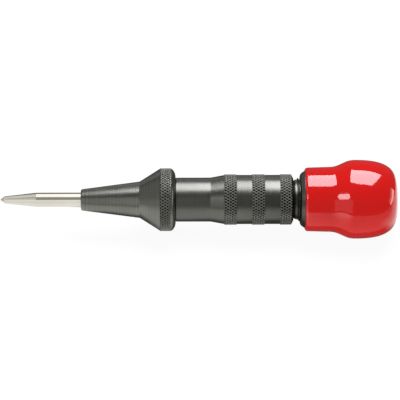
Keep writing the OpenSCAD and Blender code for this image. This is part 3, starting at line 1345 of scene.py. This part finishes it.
@dataclass(frozen=True)
class Panel:
    """A soft light or a bright card that faces the object.

    Attributes:
        name: Name of its lamp.
        aim: Place on the axis that it faces, distance from there, and direction in degrees to the right
            of the camera's and above it.
        size: Width and height.
        radiance: Brightness, where 1 is white.
        roll: Turn about its own direction, in degrees.
        round: Whether it is an ellipse.
        mirrored: Whether it shows in reflections.
        tint: Its colour.
        flagged_off: Pieces that it doesn't light.
        set_for: Pieces that it lights alone.
    """

    name: str
    aim: tuple[float, float, float, float]
    size: Pair
    radiance: float
    roll: float = 0.0
    round: bool = False
    mirrored: bool = True
    tint: Colour = (1.0, 1.0, 1.0)
    flagged_off: tuple[str, ...] = ()
    set_for: tuple[str, ...] = ()


@dataclass(frozen=True)
class TableGlow:
    """What the floor gives to reflections and to bounced light: a glow of painted light that stands in
    for a lit table, with the object's painted shadow in the zone under it and dimmer zones elsewhere.

    A zone fades in between two places along X or Y. The one under the object starts at an edge that runs
    slanting from the nose to the cap.
    """

    mirror_level: float = 1.5
    bounce_level: float = 2.3
    bounce_shade: float = 0.6
    right_shade: float = 0.65
    right_fade: Pair = (85.0, 130.0)
    under_shade: float = 0.92
    under_blur: float = 4.5
    under_nose: Pair = (5.0, 41.0)
    nose_edge: Pair = (30.0, -9.0)
    under_cap: Pair = (60.0, 140.0)
    cap_edge: Pair = (0.0, -10.0)
    end_right: Pair = (149.0, 160.0)
    end_front: Pair = (-40.0, -10.0)
    end_rear: Pair = (60.0, 30.0)
    near_shade: float = 0.9
    near_fade: Pair = (-100.0, -115.0)

    def glow(self, wiring: Wiring, mirrored: Socket) -> Socket:
        """Works out how brightly the floor glows where a ray meets it.

        Args:
            wiring: The floor's nodes.
            mirrored: 1 for a ray that is a reflection, else 0.

        Returns:
            The brightness.
        """
        place = wiring.node("SeparateXYZ")
        wiring.feed(place.inputs[0], wiring.node("TexCoord").outputs["Object"])
        x = wiring.math("DIVIDE", place.outputs["X"], MM)
        y = wiring.math("DIVIDE", place.outputs["Y"], MM)
        under = self._under(wiring, x, y)
        # Painted shadow of the object in the glow that reflections see, and dimmer zones towards the cap
        # and far in front
        dark = wiring.math("MULTIPLY", under, self.under_shade)
        dark = wiring.math("MAXIMUM", wiring.span(x, *self.right_fade, (0.0, self.right_shade)), dark)
        lit_end = wiring.math("SUBTRACT", 1.0, self._beside_end(wiring, x, y))
        dark = wiring.math("MULTIPLY", dark, lit_end)
        dark = wiring.math("MAXIMUM", dark, wiring.span(y, *self.near_fade, (0.0, self.near_shade)))
        mirror = wiring.math("MULTIPLY_ADD", dark, -self.mirror_level, self.mirror_level)
        # Painted shadow under the object in the bounced light
        bounce_drop = self.bounce_shade * self.bounce_level
        bounce = wiring.math("MULTIPLY_ADD", under, -bounce_drop, self.bounce_level)
        change = wiring.math("SUBTRACT", mirror, bounce)
        return wiring.math("MULTIPLY_ADD", change, mirrored, bounce)

    def _under(self, wiring: Wiring, x: Socket, y: Socket) -> Socket:
        """Finds the floor under and behind the object, where its shadow is painted into the glow.

        Args:
            wiring: The floor's nodes.
            x: Place along X in millimetres.
            y: Place along Y in millimetres.

        Returns:
            1 there, else 0, with a soft edge.
        """
        at_nose = wiring.span(x, *self.under_nose, self.nose_edge)
        edge = wiring.math("ADD", at_nose, wiring.span(x, *self.under_cap, self.cap_edge))
        past = wiring.math("SUBTRACT", y, edge)
        return wiring.span(past, -self.under_blur, self.under_blur)

    def _beside_end(self, wiring: Wiring, x: Socket, y: Socket) -> Socket:
        """Finds the floor beside the cap's rear end, which is in no dim zone.

        Args:
            wiring: The floor's nodes.
            x: Place along X in millimetres.
            y: Place along Y in millimetres.

        Returns:
            1 there, else 0, with soft edges.
        """
        across = wiring.math("MULTIPLY", wiring.span(y, *self.end_front), wiring.span(y, *self.end_rear))
        return wiring.math("MULTIPLY", across, wiring.span(x, *self.end_right))


@dataclass
class Studio:
    """Camera, lights and a plain pale floor."""

    elevation: float = 40.0
    distance: float = 870.0
    frame_width: float = 151.4
    sensor: float = 36.0
    middle: float = 75.5
    drop: float = 0.15
    roll: float = -0.13
    floor_radius: float = 14.9
    floor_size: float = 16000.0
    surround: float = 0.14
    floor_colour: Colour = (0.8, 0.8, 0.78)
    floor_glow: float = 0.93
    clip_start: float = 50.0
    table_glow: TableGlow = TableGlow()
    panels: tuple[Panel, ...] = (
        Panel(
            "softbox",
            aim=(130, 430, 3, 69),
            size=(365, 365),
            radiance=8.8,
            roll=-16,
            tint=COOL,
            flagged_off=(POINT, NOSE),
        ),
        Panel(
            "nose_box",
            aim=(130, 430, 1.5, 69),
            size=(374, 365),
            radiance=8.8,
            roll=-21,
            tint=COOL,
            set_for=(NOSE,),
        ),
        Panel("point_box", aim=(15, 430, 10, 78), size=(272, 560), radiance=1.6, set_for=(POINT,)),
        Panel("point_card", aim=(-5, 80, 0, -22), size=(66, 71), radiance=1.3, set_for=(POINT,)),
        Panel("point_end", aim=(-20, 80, 0, 18), size=(50, 48), radiance=0.5, set_for=(POINT,)),
        Panel("point_sky", aim=(5, 300, -30, 64), size=(1500, 1082), radiance=0.36, set_for=(POINT,)),
        Panel("point_left", aim=(5, 300, -27.5, 77), size=(218, 350), radiance=0.70, set_for=(POINT,)),
        Panel(
            "front_lamp",
            aim=(130, 900, -44, 9.5),
            size=(440, 230),
            radiance=7.0,
            round=True,
            tint=COOL,
            flagged_off=(NOSE,),
        ),
        Panel(
            "front_card",
            aim=(75, 265, -22, -12),
            size=(185, 250),
            radiance=0.95,
            flagged_off=(POINT, CORE, COVER),
        ),
        Panel("barrel_card", aim=(85, 150, 0, -44.5), size=(60, 22), radiance=1.35, set_for=(BARREL,)),
        Panel("lip_card", aim=(113, 300, -60, 118), size=(150, 160), radiance=1.1, set_for=(CORE,)),
        Panel("cap_card", aim=(75, 265, -24, -26), size=(185, 236), radiance=0.4, set_for=(COVER,)),
        Panel("flare_card", aim=(56, 300, -62, -32), size=(150, 130), radiance=0.5, set_for=(NOSE,)),
        Panel("left_card", aim=(60, 700, -62, 55), size=(520, 1000), radiance=0.4),
        Panel(
            "back_card",
            aim=(75, 1200, 0, 127),
            size=(1800, 650),
            radiance=0.55,
            flagged_off=(POINT, COVER),
        ),
        Panel("right_strip", aim=(150, 600, 100, 30), size=(420, 400), radiance=4.0),
        Panel("right_glow", aim=(150, 600, 86, 30), size=(340, 400), radiance=1.2),
        Panel("fill", aim=(75, 1500, 0, -15), size=(1500, 1200), radiance=1.2, mirrored=False),
    )

    def __post_init__(self) -> None:
        """Works out the directions towards the camera and up in its picture."""
        angle = math.radians(self.elevation)
        self.towards = Vector((0, -math.cos(angle), math.sin(angle)))
        self.up = Vector((0, math.sin(angle), math.cos(angle)))

    def build(self) -> None:
        """Sets up the camera, lights, floor and surroundings."""
        self._camera()
        for panel in self.panels:
            self._light(panel)
        self._floor()
        world = bpy.context.scene.world or bpy.data.worlds.new("studio")
        bpy.context.scene.world = world
        world.use_nodes = True
        grey = (self.surround,) * 3
        Wiring(world.node_tree).feed(world.node_tree.nodes["Background"].inputs["Color"], grey)
        bpy.context.scene.view_settings.view_transform = "Standard"

    def _camera(self) -> None:
        """Adds the camera at the photograph's viewing angle."""
        clear_selection()
        target = Vector((self.middle, 0, 0)) - self.up * self.drop
        place = (target + self.towards * self.distance) * MM
        level = (-self.towards).to_track_quat("-Z", "Y")
        turned = level @ Quaternion((0, 0, 1), math.radians(self.roll))
        bpy.ops.object.camera_add(location=place, rotation=turned.to_euler())
        camera = bpy.context.object
        camera.data.sensor_width = self.sensor
        camera.data.lens = self.sensor * self.distance / self.frame_width
        camera.data.clip_start = self.clip_start * MM
        bpy.context.scene.camera = camera

    def _light(self, panel: Panel) -> None:
        """Adds an area light, which the camera itself doesn't see.

        Args:
            panel: Its place, size and brightness.
        """
        clear_selection()
        faces, away, *angles = panel.aim
        side, rise = map(math.radians, angles)
        level = self.towards * math.cos(rise) + self.up * math.sin(rise)
        direction = level * math.cos(side) + Vector((math.sin(side), 0, 0))
        place = (Vector((faces, 0, 0)) + direction * away) * MM
        across = (Vector((1, 0, 0)) - direction * direction.x).normalized()
        basis = Matrix((across, direction.cross(across), direction)).transposed()
        turned = basis @ Matrix.Rotation(math.radians(panel.roll), 3, "Z")
        bpy.ops.object.light_add(type="AREA", location=place, rotation=turned.to_euler())
        light = bpy.context.object
        light.name = panel.name
        light.visible_camera = False
        light.visible_glossy = panel.mirrored
        light.data.shape = "ELLIPSE" if panel.round else "RECTANGLE"
        light.data.size, light.data.size_y = (length * MM for length in panel.size)
        area = light.data.size * light.data.size_y * (math.pi / 4 if panel.round else 1)
        light.data.energy = panel.radiance * math.pi * area
        light.data.color = panel.tint
        if panel.flagged_off or panel.set_for:
            self._flag(light, panel)

    def _flag(self, light: bpy.types.Object, panel: Panel) -> None:
        """Keeps a light off some pieces or to some pieces.

        Args:
            light: The light.
            panel: The panel that names the pieces.
        """
        reach = bpy.data.collections.new(panel.name + "_reach")
        for name in panel.flagged_off or panel.set_for:
            reach.objects.link(bpy.data.objects[name])
        for entry in reach.collection_objects:
            entry.light_linking.link_state = "EXCLUDE" if panel.flagged_off else "INCLUDE"
        light.light_linking.receiver_collection = reach

    def _floor(self) -> None:
        """Adds the floor under the bulb."""
        clear_selection()
        bpy.ops.mesh.primitive_plane_add(size=self.floor_size * MM, location=(0, 0, 0))
        floor = bpy.context.object
        floor.name = "floor"
        bpy.ops.transform.translate(value=(0, 0, -self.floor_radius * MM))
        bpy.ops.object.transform_apply(location=True, rotation=True, scale=True)
        floor.data.materials.append(self._floor_finish())

    def _floor_finish(self) -> bpy.types.Material:
        """Builds the floor's finish: white with a shadow to the camera, and else a glow of painted light
        with painted shadow.

        Returns:
            The material.
        """
        made = bpy.data.materials.new("floor")
        made.use_nodes = True
        made.cycles.emission_sampling = "NONE"
        wiring = Wiring(made.node_tree)
        made.node_tree.nodes.remove(made.node_tree.nodes["Principled BSDF"])
        path = wiring.node("LightPath").outputs
        seen = path["Is Camera Ray"]
        unseen = wiring.math("SUBTRACT", 1.0, seen)
        # Painted light: rays other than the camera's see the floor's glow, with painted shadow under the
        # object
        level = wiring.math("MULTIPLY", self.table_glow.glow(wiring, path["Is Glossy Ray"]), unseen)
        glow = wiring.node("Emission")
        wiring.feed(glow.inputs["Strength"], wiring.math("ADD", seen, level))
        matt = wiring.node("BsdfDiffuse")
        wiring.feed(matt.inputs["Color"], self.floor_colour)
        mix = wiring.node("MixShader")
        wiring.feed(mix.inputs[0], wiring.math("MULTIPLY_ADD", seen, self.floor_glow, unseen))
        wiring.feed(mix.inputs[1], matt.outputs[0])
        wiring.feed(mix.inputs[2], glow.outputs[0])
        wiring.feed(made.node_tree.nodes["Material Output"].inputs["Surface"], mix.outputs[0])
        return made


def main() -> None:
    """Builds every piece in order, then the studio."""
    logging.basicConfig(level=logging.INFO, format="%(name)s: %(message)s")
    main_spring = Coil(
        name="main_spring_wound",
        node="main_spring",
        body="spring_seat",
        wire=1.8,
        start=105.2,
        end=135.45,
        start_radius=4.8,
        end_radius=4.8,
        turns=9,
        squash_anchor=136.55,
        squash_keep=0.69,
    )
    return_spring = Coil(
        name="return_spring_wound",
        node="return_spring",
        body="barrel",
        wire=0.6,
        start=64.7,
        end=77.5,
        start_radius=3.71,
        end_radius=4.45,
        turns=5,
        squash_anchor=78.0,
        squash_keep=0.27,
        lean_pivot=53.6,
        lean=1.5,
    )
    shell = (PunchPoint(), NoseCone(), Barrel(), AdjustingCap())
    for assembly in (*shell, StrikingTrain(), main_spring, return_spring):
        for piece in assembly.build():
            LOG.info("%s: %d faces", piece.name, len(piece.data.polygons))
    Studio().build()


if __name__ == "__main__":
    main()
